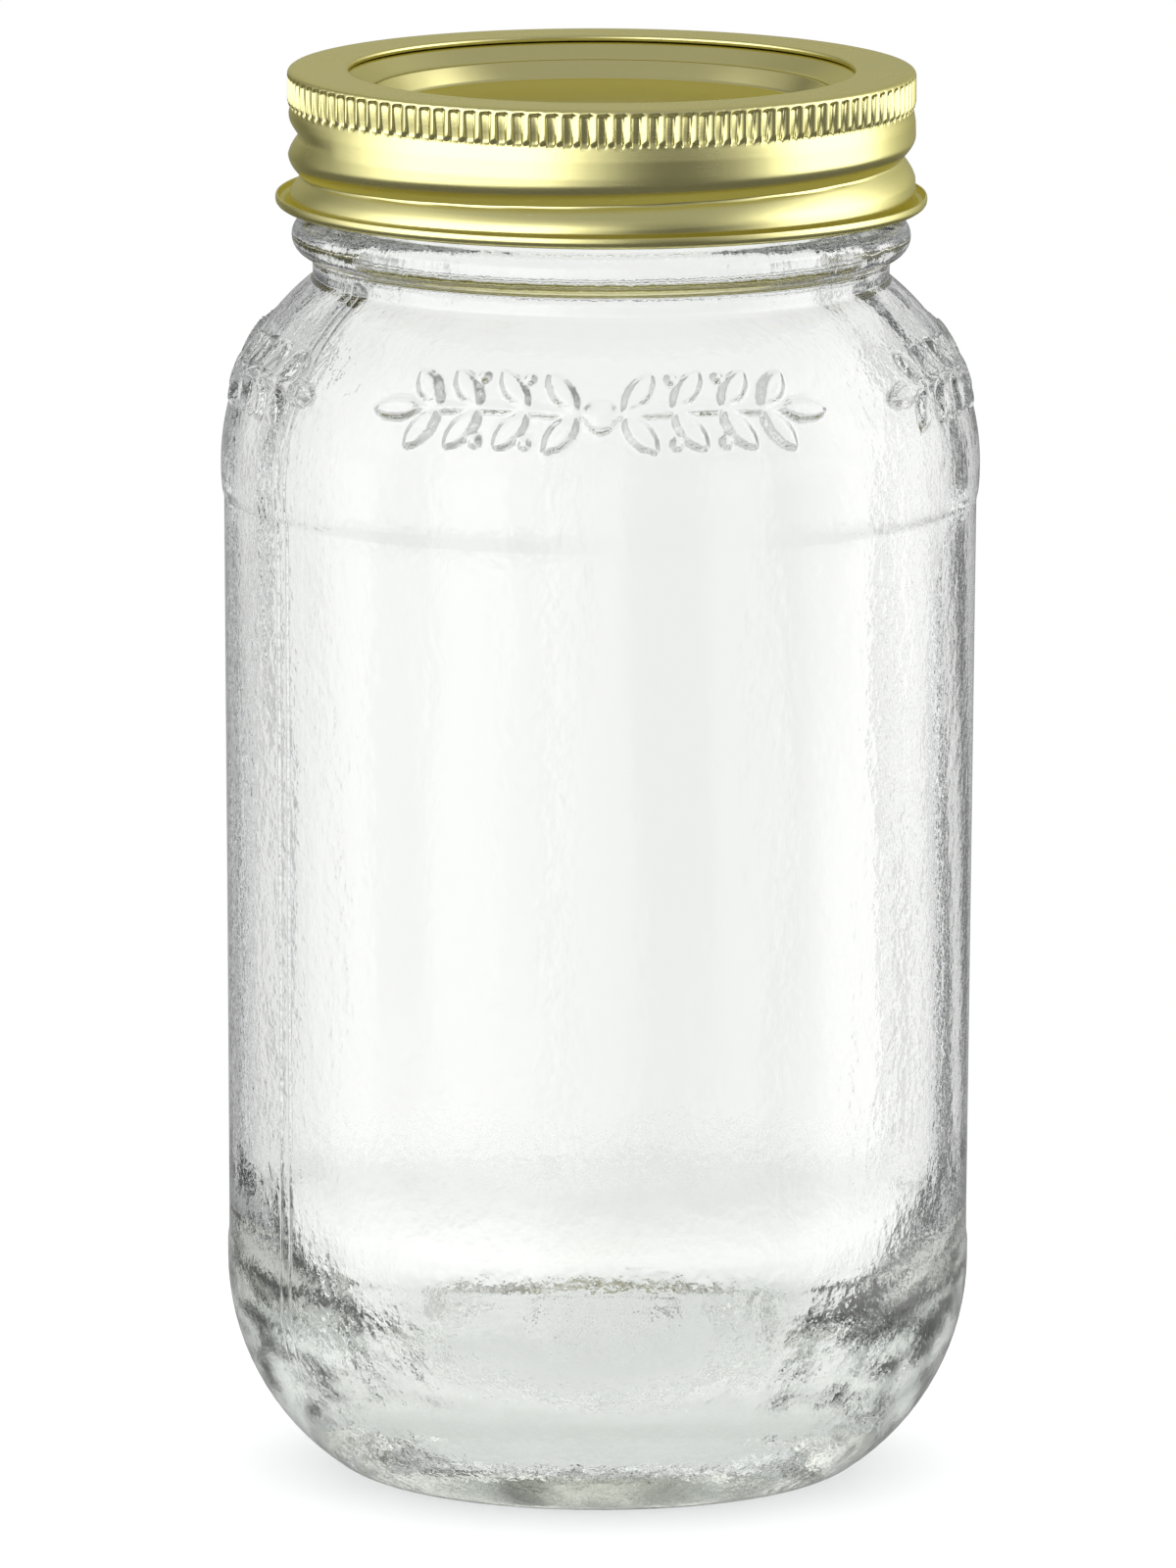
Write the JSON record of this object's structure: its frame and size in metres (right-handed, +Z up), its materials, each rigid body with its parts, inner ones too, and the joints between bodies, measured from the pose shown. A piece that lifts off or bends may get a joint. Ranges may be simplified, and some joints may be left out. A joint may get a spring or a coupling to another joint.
{
  "type": "mason jar",
  "caption": "Clear glass preserving jar with a rounded shoulder, closed by a flat metal disc on a soft sealing ring and a gold screw band that turns on a helical thread.",
  "frame": {"origin": "centre of the circle that the jar stands on", "axes": "+Z up along the jar's axis, -Y towards the front"},
  "size_m": [0.089, 0.089, 0.166],
  "materials": {
    "clear_glass": "clear soda-lime glass, slightly wavy inside",
    "lacquered_disc": "satin gold lacquer on tinplate",
    "sealing_compound": "matt plastisol sealing compound",
    "gold_band": "satin champagne-gold lacquer on tinplate"
  },
  "bodies": {
    "jar": {"jar_glass": "clear_glass"},
    "lid": {"lid_disc": "lacquered_disc", "sealing_ring": "sealing_compound"},
    "band": {"screw_band": "gold_band"}
  },
  "joints": [
    {"name": "closure_rise", "type": "slide", "parent": "jar", "child": "lid", "axis": [0, 0, 1], "range_m": [0, 0.0255]},
    {"name": "band_turn", "type": "hinge", "parent": "lid", "child": "band", "pos_m": [0, 0, 0.158], "axis": [0, 0, 1], "range_deg": [0, 1800]}
  ],
  "couplings": [
    {"joint": "closure_rise", "follows": "band_turn", "m_per_rad": 0.00080851}
  ]
}
